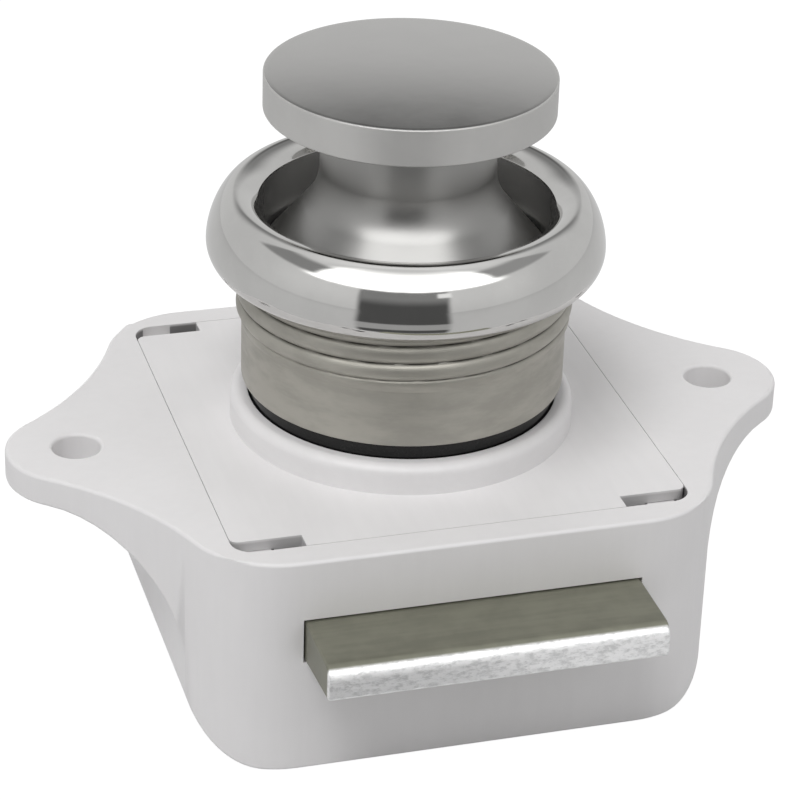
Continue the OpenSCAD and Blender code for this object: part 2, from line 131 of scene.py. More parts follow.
def rgba(colour: object) -> object:
    """Gives a colour its alpha, and returns a socket as it is."""
    return colour if isinstance(colour, Socket) else (*colour, 1.0)


class Graph:
    """Adds nodes to one node tree and joins them."""

    def __init__(self, tree: bpy.types.NodeTree) -> None:
        """Clears the tree.

        Args:
            tree: the node tree of a material or of the world.
        """
        self.tree = tree
        tree.nodes.clear()

    def add(self, kind: str, inputs: dict | None = None, **settings: object) -> Node:
        """Adds one node.

        Args:
            kind: the node's type name, without its "ShaderNode" start.
            inputs: values or output sockets by input name or number.
            settings: properties of the node itself.

        Returns:
            The new node.
        """
        node = self.tree.nodes.new("ShaderNode" + kind)
        for name, value in settings.items():
            setattr(node, name, value)
        for key, value in (inputs or {}).items():
            if isinstance(value, Socket):
                self.tree.links.new(value, node.inputs[key])
            else:
                node.inputs[key].default_value = value
        return node

    def math(self, operation: str, first: object, second: object = 0.0, clamp: bool = False) -> Socket:
        """Adds a Math node and returns its output. With clamp, the result stays between 0 and 1."""
        return self.add("Math", {0: first, 1: second}, operation=operation, use_clamp=clamp).outputs[0]

    def times(self, *factors: object) -> Socket:
        """Multiplies numbers or sockets."""
        return reduce(lambda first, second: self.math("MULTIPLY", first, second), factors)

    def plus(self, *parts: object) -> Socket:
        """Adds numbers or sockets."""
        return reduce(lambda first, second: self.math("ADD", first, second), parts)

    def split(self, vector: Socket) -> tuple[Socket, Socket, Socket]:
        """Gives the three parts of a vector."""
        parts = self.add("SeparateXYZ", {0: vector}).outputs
        return parts[0], parts[1], parts[2]

    def off_axis(self, x: Socket, y: Socket) -> Socket:
        """Gives the distance of a place from the knob's axis."""
        return self.math("SQRT", self.plus(self.times(x, x), self.times(y, y)))

    def ramp(self, value: object, low: float, high: float, to_low: float = 0.0,
             to_high: float = 1.0) -> Socket:
        """Maps a value from low to high onto to_low to to_high, with smooth ends, and returns it."""
        inputs = {"Value": value, "From Min": low, "From Max": high, "To Min": to_low, "To Max": to_high}
        return self.add("MapRange", inputs, interpolation_type="SMOOTHSTEP").outputs[0]

    def edge(self, value: object, at: float, soft: float) -> Socket:
        """Goes from 0 to 1 where a value passes a level, or from 1 to 0 if soft is negative."""
        return self.ramp(value, at - soft, at + soft)

    def band(self, value: object, low: float, high: float, rise: float = 0.05,
             fall: float = 0.05) -> Socket:
        """Gives 1 where a value lies in a band, with ends that fade in the given widths."""
        return self.times(self.ramp(value, low, low + rise), self.ramp(value, high, high - fall))

    def place(self, stretch: Sequence[float] = (1.0, 1.0, 1.0)) -> Socket:
        """Gives the piece's own place in millimetres. A small stretch makes features long that way."""
        inputs = {"Vector": self.add("TexCoord").outputs["Object"], "Scale": [s / MM for s in stretch]}
        return self.add("Mapping", inputs).outputs[0]

    def noise(self, where: Socket, per_mm: float, detail: float = 2.0, rough: float = 0.5) -> Socket:
        """Adds a noise of about 0 to 1, with per_mm features a millimetre, and returns its value."""
        inputs = {"Vector": where, "Scale": per_mm, "Detail": detail, "Roughness": rough}
        return self.add("TexNoise", inputs).outputs[0]

    def tint(self, factor: object, first: Colour | Socket, second: Colour | Socket) -> Socket:
        """Mixes two colours or their sockets. The factor is the share of the second, from 0 to 1."""
        inputs = {0: factor, 6: rgba(first), 7: rgba(second)}
        return self.add("Mix", inputs, data_type="RGBA").outputs[2]

    def bump(self, height: object, depth_mm: float, under: Socket | None = None) -> Socket:
        """Adds a bump of a real depth.

        Args:
            height: the height's socket, from 0 to 1.
            depth_mm: depth in millimetres.
            under: the normal that this bump lies on.

        Returns:
            The normal socket.
        """
        inputs = {"Height": height, "Distance": depth_mm * MM, "Strength": 1.0}
        if under is not None:
            inputs["Normal"] = under
        return self.add("Bump", inputs).outputs[0]


class Finish:
    """A procedural finish. Each kind writes its own nodes."""

    name: str

    def material(self) -> bpy.types.Material:
        """Makes the finish's material once.

        Returns:
            The material, which is the same one each time.
        """
        name = "look_" + self.name
        found = bpy.data.materials.get(name)
        if found is not None:
            return found
        made = bpy.data.materials.new(name)
        made.use_nodes = True
        graph = Graph(made.node_tree)
        shader = graph.add("BsdfPrincipled")
        self.write(graph, shader)
        graph.add("OutputMaterial", {"Surface": shader.outputs[0]})
        return made

    def write(self, graph: Graph, shader: Node) -> None:
        """Writes the finish's nodes.

        Args:
            graph: the material's graph.
            shader: its Principled shader.
        """
        raise NotImplementedError

    def dress(self, piece: Piece) -> None:
        """Gives the piece this finish in every material slot.

        Args:
            piece: the object, new or from the CAD model.
        """
        material = self.material()
        if not piece.data.materials:
            piece.data.materials.append(material)
        for i in range(len(piece.data.materials)):
            piece.data.materials[i] = material


def join(graph: Graph, shader: Node, **inputs: object) -> None:
    """Sets sockets of the shader, by name with underscores for spaces.

    Args:
        graph: the material's graph.
        shader: its Principled shader.
        inputs: values or output sockets.
    """
    for name, value in inputs.items():
        socket = shader.inputs[name.replace("_", " ")]
        if isinstance(value, Socket):
            graph.tree.links.new(value, socket)
        else:
            socket.default_value = value


@dataclass(frozen=True)
class MouldedPlastic(Finish):
    """Satin moulded plastic with faint mottling, flow lines and a fine grain, and painted shade in the
    gaps beside the snap hooks.
    """

    name: str
    colour: Colour
    mottle: float = 0.03
    roughness: float = 0.42
    grain_mm: float = 0.004
    flow: Direction = Direction.Z
    gaps: tuple[tuple[float, float], ...] = ()
    gap_y: tuple[float, float] = (15.5, 18.0)
    gap_z: tuple[float, float] = (-4.0, -0.02)
    gap_fade: tuple[float, float] = (0.5, 0.25)
    gap_shade_tone: float = 0.3

    def gap_shade_share(self, graph: Graph, place: Socket) -> Socket:
        """Gives how far a place lies in the gaps beside the snap hooks, where shade is painted into the
        colour.

        Args:
            graph: node tree that is being written.
            place: position in millimetres.

        Returns:
            A socket from 0 to 1.
        """
        x, y, z = graph.split(place)
        x, y = graph.math("ABSOLUTE", x), graph.math("ABSOLUTE", y)
        across = graph.plus(0.0, *(graph.band(x, low, high) for low, high in self.gaps))
        deep = graph.band(z, *self.gap_z, *self.gap_fade)
        return graph.times(across, deep, graph.band(y, *self.gap_y))

    def write(self, graph: Graph, shader: Node) -> None:
        """Writes mottling, flow lines, grain and the painted shade in the gaps.

        Args:
            graph: the material's graph.
            shader: its Principled shader.
        """
        plain = graph.place()
        along = graph.place([0.12 if axis else 1.0 for axis in self.flow.value])
        cloud = graph.noise(plain, per_mm=0.16, detail=3.0)
        lines = graph.noise(along, per_mm=1.3, detail=3.0, rough=0.6)
        grain = graph.noise(plain, per_mm=7.0, detail=3.0, rough=0.6)
        shade = graph.plus(graph.times(cloud, 0.6), graph.times(lines, 0.4))
        dark, light = toned(self.colour, 1.0 - self.mottle), toned(self.colour, 1.0 + self.mottle)
        base = graph.tint(graph.ramp(shade, 0.3, 0.7), dark, light)
        if self.gaps:
            # Painted shade: the colour darkens in the gaps beside the snap hooks.
            base = graph.tint(self.gap_shade_share(graph, plain), base, toned(self.colour, self.gap_shade_tone))
        rough = graph.ramp(grain, 0.2, 0.8, self.roughness - 0.05, self.roughness + 0.06)
        normal = graph.bump(lines, self.grain_mm * 0.9)
        normal = graph.bump(grain, self.grain_mm, under=normal)
        join(graph, shader, Base_Color=base, Roughness=rough, Normal=normal)


@dataclass(frozen=True)
class BrightPlate(Finish):
    """Polished plating with a faint waviness and light polishing haze."""

    name: str
    colour: Colour
    roughness: float = 0.05
    wave_mm: float = 0.004
    haze: float = 0.04

    def write(self, graph: Graph, shader: Node) -> None:
        """Writes waviness and haze.

        Args:
            graph: the material's graph.
            shader: its Principled shader.
        """
        plain = graph.place()
        wave = graph.noise(plain, per_mm=0.45)
        fine = graph.noise(plain, per_mm=3.0)
        smear = graph.noise(plain, per_mm=0.22, detail=4.0, rough=0.6)
        base = graph.tint(graph.ramp(smear, 0.35, 0.65), toned(self.colour, 0.95), self.colour)
        rough = graph.ramp(smear, 0.35, 0.75, self.roughness, self.roughness + self.haze)
        normal = graph.bump(wave, self.wave_mm)
        normal = graph.bump(fine, self.wave_mm * 0.06, under=normal)
        join(graph, shader, Base_Color=base, Metallic=1.0, Roughness=rough, Normal=normal)


@dataclass(frozen=True)
class TurnedPlate(BrightPlate):
    """Plating on a turned piece, with painted shade darkening its colour near the axis, under the knob's
    cap and down the rosette's bore, where it is also rougher.
    """

    shade_r: float = 10.45
    low: float = 13.9
    high: float = 24.8
    painted_shade_tone: float = 0.7
    dull_rough: float = 0.1
    paling: float = 0.0
    satin_r: float = 99.0
    satin: float = 0.0

    def write(self, graph: Graph, shader: Node) -> None:
        """Writes the plating, then the part near the axis over it, with its painted shade.

        Args:
            graph: the material's graph.
            shader: its Principled shader.
        """
        super().write(graph, shader)
        x, y, z = graph.split(graph.place())
        out = graph.off_axis(x, y)
        # The part near the axis: its colour is darkened as painted shade, and it is made rougher.
        share = graph.times(graph.edge(out, self.shade_r, -0.1), graph.edge(z, self.high, -0.05),
                            graph.edge(z, self.low, 0.4))
        edge = graph.times(graph.edge(out, self.satin_r, 0.05), graph.edge(z, self.high, 0.05))
        plain = shader.inputs["Base Color"].links[0].from_socket
        base = graph.tint(share, plain, toned(self.colour, self.painted_shade_tone))
        polish = shader.inputs["Roughness"].links[0].from_socket
        rough = graph.plus(polish, graph.times(share, self.dull_rough),
                           graph.times(edge, self.satin * 0.5))
        lost = graph.plus(graph.times(edge, self.satin), graph.times(share, self.paling))
        join(graph, shader, Base_Color=base, Metallic=graph.math("SUBTRACT", 1.0, lost), Roughness=rough)


@dataclass(frozen=True)
class TurnedMetal(Finish):
    """Turned metal: fine rings round the axis, soft smudges and a satin sheen."""

    name: str
    colour: Colour
    roughness: float = 0.3
    ring_mm: float = 0.004
    metallic: float = 1.0
    root_r: float = 0.0
    root_z: float = 0.0
    root_shade_tone: float = 0.25

    def write(self, graph: Graph, shader: Node) -> None:
        """Writes turning rings, smudges and the painted shade in the thread's roots.

        Args:
            graph: the material's graph.
            shader: its Principled shader.
        """
        plain = graph.place()
        rings = graph.noise(graph.place((0.05, 0.05, 1.0)), per_mm=5.0, detail=3.0, rough=0.7)
        smudge = graph.noise(graph.place((0.5, 0.5, 1.6)), per_mm=0.35, detail=4.0, rough=0.65)
        speck = graph.noise(plain, per_mm=4.0)
        base = graph.tint(graph.ramp(smudge, 0.36, 0.64), toned(self.colour, 0.86), self.colour)
        # Painted shade: the colour darkens in the thread's roots.
        if self.root_r:
            x, y, z = graph.split(plain)
            root = graph.times(graph.ramp(graph.off_axis(x, y), self.root_r + 0.26, self.root_r + 0.05),
                               graph.ramp(z, self.root_z, self.root_z + 0.6))
            base = graph.tint(root, base, toned(self.colour, self.root_shade_tone))
        rough = graph.ramp(smudge, 0.35, 0.7, self.roughness + 0.08, self.roughness - 0.03)
        normal = graph.bump(rings, self.ring_mm)
        normal = graph.bump(speck, self.ring_mm * 0.5, under=normal)
        join(graph, shader, Base_Color=base, Metallic=self.metallic, Roughness=rough, Normal=normal)


@dataclass(frozen=True)
class GlossRubber(Finish):
    """Moulded black rubber with a gloss skin."""

    name: str
    colour: Colour
    roughness: float = 0.14
    dust: float = 0.02
    ripple_mm: float = 0.006

    def write(self, graph: Graph, shader: Node) -> None:
        """Writes a faint ripple and dust.

        Args:
            graph: the material's graph.
            shader: its Principled shader.
        """
        plain = graph.place()
        ripple = graph.noise(plain, per_mm=1.4)
        dust = graph.noise(plain, per_mm=6.0, detail=3.0, rough=0.7)
        light = tuple(c + self.dust for c in self.colour)
        base = graph.tint(graph.ramp(dust, 0.55, 0.8), self.colour, light)
        rough = graph.ramp(dust, 0.4, 0.8, self.roughness, self.roughness + 0.12)
        join(graph, shader, Base_Color=base, Roughness=rough, Specular_IOR_Level=0.3,
             Normal=graph.bump(ripple, self.ripple_mm))


@dataclass(frozen=True)
class ZincSteel(Finish):
    """Zinc-plated steel with a passivated olive tone, and a pitted nose past pit_y."""

    name: str
    colour: Colour
    bright: Colour
    pit_y: float
    pit_mm: float = 0.03

    def write(self, graph: Graph, shader: Node) -> None:
        """Writes the rolled top and the pitted nose.

        Args:
            graph: the material's graph.
            shader: its Principled shader.
        """
        plain = graph.place()
        nose = graph.edge(graph.split(plain)[1], self.pit_y, -0.12)
        drawn = graph.noise(graph.place((0.08, 1.0, 1.0)), per_mm=1.6, detail=3.0, rough=0.6)
        cloud = graph.noise(plain, per_mm=0.5, detail=4.0, rough=0.6)
        pits = graph.noise(graph.place((0.45, 1.0, 1.0)), per_mm=3.4, detail=4.0, rough=0.7)
        spots = graph.ramp(pits, 0.4, 0.68)
        tone = graph.plus(graph.times(drawn, 0.5), graph.times(cloud, 0.5))
        top = graph.tint(graph.ramp(tone, 0.35, 0.65), toned(self.colour, 0.82), self.colour)
        fleck = graph.tint(spots, self.bright, toned(self.bright, 0.7))
        rough = graph.plus(graph.ramp(tone, 0.3, 0.7, 0.34, 0.44), graph.times(nose, -0.06))
        depth = graph.plus(graph.times(drawn, 0.25), graph.times(pits, nose))
        metal = graph.math("SUBTRACT", 0.6, graph.times(nose, 0.12))
        join(graph, shader, Base_Color=graph.tint(nose, top, fleck), Metallic=metal, Roughness=rough,
             Normal=graph.bump(depth, self.pit_mm))


@dataclass(frozen=True)
class DrawnWire(Finish):
    """Bright spring wire with faint drawing marks."""

    name: str
    colour: Colour
    roughness: float = 0.24
    mark_mm: float = 0.004

    def write(self, graph: Graph, shader: Node) -> None:
        """Writes drawing marks and tone.

        Args:
            graph: the material's graph.
            shader: its Principled shader.
        """
        marks = graph.noise(graph.place(), per_mm=2.5, detail=3.0, rough=0.7)
        base = graph.tint(marks, toned(self.colour, 0.8), self.colour)
        rough = graph.ramp(marks, 0.3, 0.7, self.roughness, self.roughness + 0.1)
        join(graph, shader, Base_Color=base, Metallic=1.0, Roughness=rough,
             Normal=graph.bump(marks, self.mark_mm))


# Both plastics darken in the gaps listed, as painted shade.
CASE_PLASTIC = MouldedPlastic("case_plastic", (0.8, 0.788, 0.79), mottle=0.015, grain_mm=0.0025,
                              gaps=((11.9, 14.1), (16.28, 17.25)))
COVER_PLASTIC = MouldedPlastic("cover_plastic", (0.81, 0.798, 0.8), mottle=0.02, roughness=0.34,
                               flow=Direction.Y, gaps=((11.8, 17.25),), gap_shade_tone=0.72)
BUSH_PLASTIC = MouldedPlastic("bush_plastic", (0.022, 0.022, 0.023), mottle=0.15, roughness=0.3)
PLUNGER_PLASTIC = MouldedPlastic("plunger_plastic", (0.66, 0.64, 0.6), roughness=0.34)
TRACK_PLASTIC = MouldedPlastic("track_plastic", (0.42, 0.36, 0.26), roughness=0.38)
BLACK_RUBBER = GlossRubber("black_rubber", (0.006, 0.006, 0.006))
# Both platings darken near the axis as painted shade.
KNOB_PLATE = TurnedPlate("knob_chrome", (0.56, 0.555, 0.542), roughness=0.15, haze=0.05, painted_shade_tone=0.62,
                         dull_rough=0.16, satin_r=10.6, satin=0.5)
TRIM_PLATE = TurnedPlate("trim_chrome", (0.63, 0.625, 0.612), shade_r=11.2, low=0.0, high=17.4,
                         painted_shade_tone=0.85, paling=0.4)
TURNED = TurnedMetal("turned_nickel", (0.43, 0.416, 0.372), roughness=0.4, metallic=0.6, root_r=12.15,
                     root_z=8.6)
SCREW_STEEL = TurnedMetal("screw_steel", (0.5, 0.49, 0.47), roughness=0.26)
SPRING_STEEL = DrawnWire("spring_steel", (0.52, 0.51, 0.5))
ZINC = ZincSteel("zinc_steel", (0.26, 0.26, 0.205), (1.0, 1.0, 1.0), pit_y=-26.15)


def arc(centre: Point, radius: float, start: float, end: float, steps: int = 8) -> list[Point]:
    """Points of an arc.

    Args:
        centre: the arc's centre.
        radius: its radius.
        start: angle of the first point, in degrees.
        end: angle of the last point, in degrees.
        steps: number of stretches.

    Returns:
        The points, from start to end.
    """
    turns = [math.radians(start + (end - start) * i / steps) for i in range(steps + 1)]
    return [(centre[0] + radius * math.cos(t), centre[1] + radius * math.sin(t)) for t in turns]


def eased(outline: Sequence[tuple[float, ...]], steps: int = 4) -> list[Point]:
    """Rounds the corners of a closed outline.

    Args:
        outline: corners as (radius, height) or (radius, height, rounding), in order.
        steps: stretches of each rounding.

    Returns:
        The outline's points with round corners.
    """
    points: list[Point] = []
    count = len(outline)
    for i, corner in enumerate(outline):
        here = Vector(corner[:2])
        reach = corner[2] if len(corner) > 2 else 0.0
        back, ahead = Vector(outline[i - 1][:2]) - here, Vector(outline[(i + 1) % count][:2]) - here
        shortest = min(back.length, ahead.length)
        if reach <= 0.0 or shortest < TINY:
            points.append((here.x, here.y))
            continue
        back, ahead = back.normalized(), ahead.normalized()
        half = back.angle(ahead) / 2.0
        run = min(reach / math.tan(half), shortest * SIDE_SHARE)
        centre = here + (back + ahead).normalized() * (run / math.cos(half))
        first, last = here + back * run - centre, here + ahead * run - centre
        sweep = first.angle_signed(last)
        for k in range(steps + 1):
            spoke = Matrix.Rotation(-sweep * k / steps, 2) @ first
            points.append((centre.x + spoke.x, centre.y + spoke.y))
    return points


def new_piece(name: str, mesh: Mesh) -> Piece:
    """Turns a bmesh in metres into a smooth-shaded object.

    Args:
        name: name of the piece.
        mesh: its mesh, which is freed.

    Returns:
        The new object.
    """
    data = bpy.data.meshes.new(name)
    mesh.to_mesh(data)
    mesh.free()
    data.shade_smooth()
    piece = bpy.data.objects.new(name, data)
    bpy.context.scene.collection.objects.link(piece)
    return piece


def keep_flats(piece: Piece, sharp_degrees: float = 35.0) -> None:
    """Keeps flat faces flat beside their rounded edges, by weighted normals.

    Args:
        piece: the object.
        sharp_degrees: edges sharper than this stay sharp.
    """
    piece.data.set_sharp_from_angle(angle=math.radians(sharp_degrees))
    weighted = piece.modifiers.new("flats", "WEIGHTED_NORMAL")
    weighted.keep_sharp = True


def turned(name: str, outline: Sequence[Point], steps: int = 224,
           shape: Callable[[float, float, float], float] | None = None) -> Piece:
    """Turns a closed outline round the Z axis.

    Args:
        name: name of the piece.
        outline: closed outline as (radius, height) in millimetres. Points on the axis have radius 0.
        steps: steps round the axis.
        shape: gives a point's radius from its turn (0 to 1), radius and height. None leaves it round.

    Returns:
        The new object.
    """
    mesh = bmesh.new()
    rings = []
    for radius, height in outline:
        if radius < TINY:
            rings.append([mesh.verts.new((0.0, 0.0, height * MM))] * steps)
            continue
        ring = []
        for k in range(steps):
            turn = k / steps
            out = shape(turn, radius, height) if shape else radius
            angle = 2.0 * math.pi * turn
            spot = Vector((out * math.cos(angle), out * math.sin(angle), height)) * MM
            ring.append(mesh.verts.new(spot))
        rings.append(ring)
    for i, ring in enumerate(rings):
        other = rings[(i + 1) % len(rings)]
        for k in range(steps):
            n = (k + 1) % steps
            loop = [ring[k], ring[n], other[n], other[k]]
            corners = [v for j, v in enumerate(loop) if v is not loop[j - 1]]
            if len(corners) > 2:
                mesh.faces.new(corners)
    bmesh.ops.recalc_face_normals(mesh, faces=mesh.faces)
    piece = new_piece(name, mesh)
    keep_flats(piece)
    return piece


def coil(name: str, radius: float, wire: float, turns: float, start: float, end: float,
         side: int = 10, steps: int = 36) -> Piece:
    """Winds a wire round the Z axis, with its last turns closed up.

    Args:
        name: name of the piece.
        radius: radius to the middle of the wire.
        wire: the wire's radius.
        turns: number of turns.
        start: lowest height of the spring.
        end: highest height of the spring.
        side: points round the wire.
        steps: steps for each turn.

    Returns:
        The new object.
    """
    mesh = bmesh.new()
    count = int(turns * steps)
    rise = end - start - 2.0 * wire
    rings = []
    for i in range(count + 1):
        share = i / count
        climb = share - math.sin(2.0 * math.pi * share) / turns * 0.5
        angle = 2.0 * math.pi * turns * share
        out = Vector((math.cos(angle), math.sin(angle), 0.0))
        middle = out * radius + Vector((0.0, 0.0, start + wire + rise * climb))
        spokes = [2.0 * math.pi * j / side for j in range(side)]
        rings.append([mesh.verts.new((middle + out * (wire * math.cos(s)) +
                                      Vector((0.0, 0.0, wire * math.sin(s)))) * MM) for s in spokes])
    for low, high in zip(rings, rings[1:]):
        for j in range(side):
            n = (j + 1) % side
            mesh.faces.new((low[j], low[n], high[n], high[j]))
    mesh.faces.new(rings[0])
    mesh.faces.new(rings[-1])
    bmesh.ops.recalc_face_normals(mesh, faces=mesh.faces)
    return new_piece(name, mesh)


def merge(mesh: Mesh) -> None:
    """Merges points that lie within MERGE_MM of each other, and what collapses with them."""
    bmesh.ops.remove_doubles(mesh, verts=mesh.verts, dist=MERGE_MM * MM)
    bmesh.ops.dissolve_degenerate(mesh, edges=mesh.edges, dist=MERGE_MM * MM)


def eased_copy(source: Piece, name: str, rounding: float, wanted: Callable[[Edge], bool],
               reshape: Callable[[Mesh], None] | None = None,
               sharp: float = 32.0, steps: int = 3) -> Piece:
    """Copies a CAD node's mesh and rounds its wanted sharp edges.

    Args:
        source: the CAD node's object.
        name: name of the piece.
        rounding: size of the rounding in millimetres.
        wanted: says of each sharp edge whether it is rounded.
        reshape: changes the merged mesh before its edges are rounded.
        sharp: angle in degrees over which an edge counts as sharp.
        steps: stretches of each rounding.

    Returns:
        The new object.
    """
    mesh = bmesh.new()
    mesh.from_mesh(source.data)
    merge(mesh)
    flat = math.radians(FLAT_DEGREES)
    bmesh.ops.dissolve_limit(mesh, angle_limit=flat, verts=mesh.verts, edges=mesh.edges)
    if reshape:
        reshape(mesh)
        merge(mesh)
    chosen = [e for e in mesh.edges
              if len(e.link_faces) == 2 and math.degrees(e.calc_face_angle(0.0)) > sharp and wanted(e)]
    bmesh.ops.bevel(mesh, geom=chosen, offset=rounding * MM, offset_type="OFFSET", segments=steps,
                    profile=0.5, affect="EDGES", clamp_overlap=False, miter_outer="ARC")
    piece = new_piece(name, mesh)
    # The CAD mesh's own normals don't fit the rounded mesh.
    stale = piece.data.attributes.get("custom_normal")
    if stale is not None:
        piece.data.attributes.remove(stale)
    keep_flats(piece)
    return piece


def mount(piece: Piece, finish: Finish, body: Body, slot: Slot, *nodes: str) -> Piece:
    """Dresses a new piece, puts it on its body and lets it stand for its CAD nodes.

    Args:
        piece: the new object.
        finish: its finish.
        body: the body that it rides on.
        slot: the record's slot of its finish; not used.
        nodes: the CAD nodes that it stands for.

    Returns:
        The same object.
    """
    finish.dress(piece)
    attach(piece, body.value)
    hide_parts(*nodes)
    LOG.info("%s: %d faces", piece.name, len(piece.data.polygons))
    return piece


def in_mm(box: tuple[Vector, Vector]) -> tuple[Vector, Vector]:
    """Gives the low and the high corner of a box in millimetres."""
    low, high = box
    return low / MM, high / MM


def dress(frame: dict, finish: Finish, *nodes: str) -> Piece:
    """Gives CAD nodes a finish.

    Args:
        frame: the frame that holds the nodes.
        finish: the finish.
        nodes: their names.

    Returns:
        The last node's object.
    """
    for node in nodes:
        finish.dress(frame["nodes"][node])
    return frame["nodes"][nodes[-1]]


def middle(edge: Edge) -> Vector:
    """Gives the middle of an edge in millimetres."""
    return (edge.verts[0].co + edge.verts[1].co) / 2.0 / MM


@dataclass
class Case:
    """Moulded case with its ears, and the cover snapped into it."""

    frame: dict
    wall_x: float = 2.85
    wall_y: float = 2.25
    half_x: float = 20.0
    edge: float = 0.28
    rim: float = 0.8
    foot_z: float = -16.5
    slot_x: float = 13.0
    slot_z: float = -6.5
    slot_half: float = 2.2
    cover_edge: float = 0.06
    collar_z: float = 0.3
    cover_x: float = 17.1
    corner_y: float = 16.2
    corner_r: float = 1.6
    notch_x: float = 16.45
    notch_y: float = 16.3
    slack: float = 0.01

    def build(self) -> Iterable[Piece]:
        """Builds and dresses the case, and yields each piece."""
        yield self.housing()
        yield self.cover()
        yield dress(self.frame, SPRING_STEEL, "bush_clip")
        yield dress(self.frame, BUSH_PLASTIC, "guide_bush")

    def housing(self) -> Piece:
        """Makes the case from its CAD form, with rounded outer edges.

        Returns:
            The piece.
        """
        low, high = in_mm(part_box("housing"))
        mouth_x, mouth_y = self.half_x - self.wall_x + self.rim, high.y - self.wall_y + self.rim

        def is_outer(edge: Edge) -> bool:
            """Says whether an edge is on the outside of the case or round its foot, and not in the slot.

            Args:
                edge: an edge of the case's mesh.

            Returns:
                Whether the edge is rounded.
            """
            spot = middle(edge)
            outside = abs(spot.x) > mouth_x or abs(spot.y) > mouth_y
            slot = abs(spot.x) < self.slot_x and abs(spot.z - self.slot_z) < self.slot_half
            return (outside or spot.z < self.foot_z) and not slot

        piece = eased_copy(self.frame["nodes"]["housing"], "case_moulding", self.edge, is_outer)
        return mount(piece, CASE_PLASTIC, Body.CASE, Slot.CASE, "housing")

    def is_upper(self, edge: Edge) -> bool:
        """Says whether an edge of the cover is on its collar."""
        return middle(edge).z > self.collar_z

    def cover(self) -> Piece:
        """Makes the cover plate and its collar from their CAD form, with eased edges."""
        piece = eased_copy(self.frame["nodes"]["cover"], "cover_plate", self.cover_edge, self.is_upper,
                           self.open_corners)
        return mount(piece, COVER_PLASTIC, Body.CASE, Slot.COVER, "cover")

    def open_corners(self, mesh: Mesh) -> None:
        """Rounds the cover's corners off as far as the notches, so that each notch opens at its end.

        Args:
            mesh: the cover's mesh, changed in place.
        """
        small_r = self.cover_x - self.notch_x
        centre_x = self.cover_x - self.corner_r
        last = math.acos((self.notch_x - centre_x) / self.corner_r)
        for vert in mesh.verts:
            x, y = abs(vert.co.x) / MM, abs(vert.co.y) / MM
            out = math.hypot(x - centre_x, y - self.corner_y)
            beside = x > self.notch_x - self.slack and y > self.corner_y - self.slack
            if not beside or abs(out - self.corner_r) > 2.0 * self.slack:
                continue
            turn = math.atan2(y - self.corner_y, x - centre_x) / last * math.pi / 2.0
            vert.co.x = math.copysign((self.notch_x + small_r * math.cos(turn)) * MM, vert.co.x)
            vert.co.y = math.copysign((self.notch_y + small_r * (math.sin(turn) - 1.0)) * MM, vert.co.y)


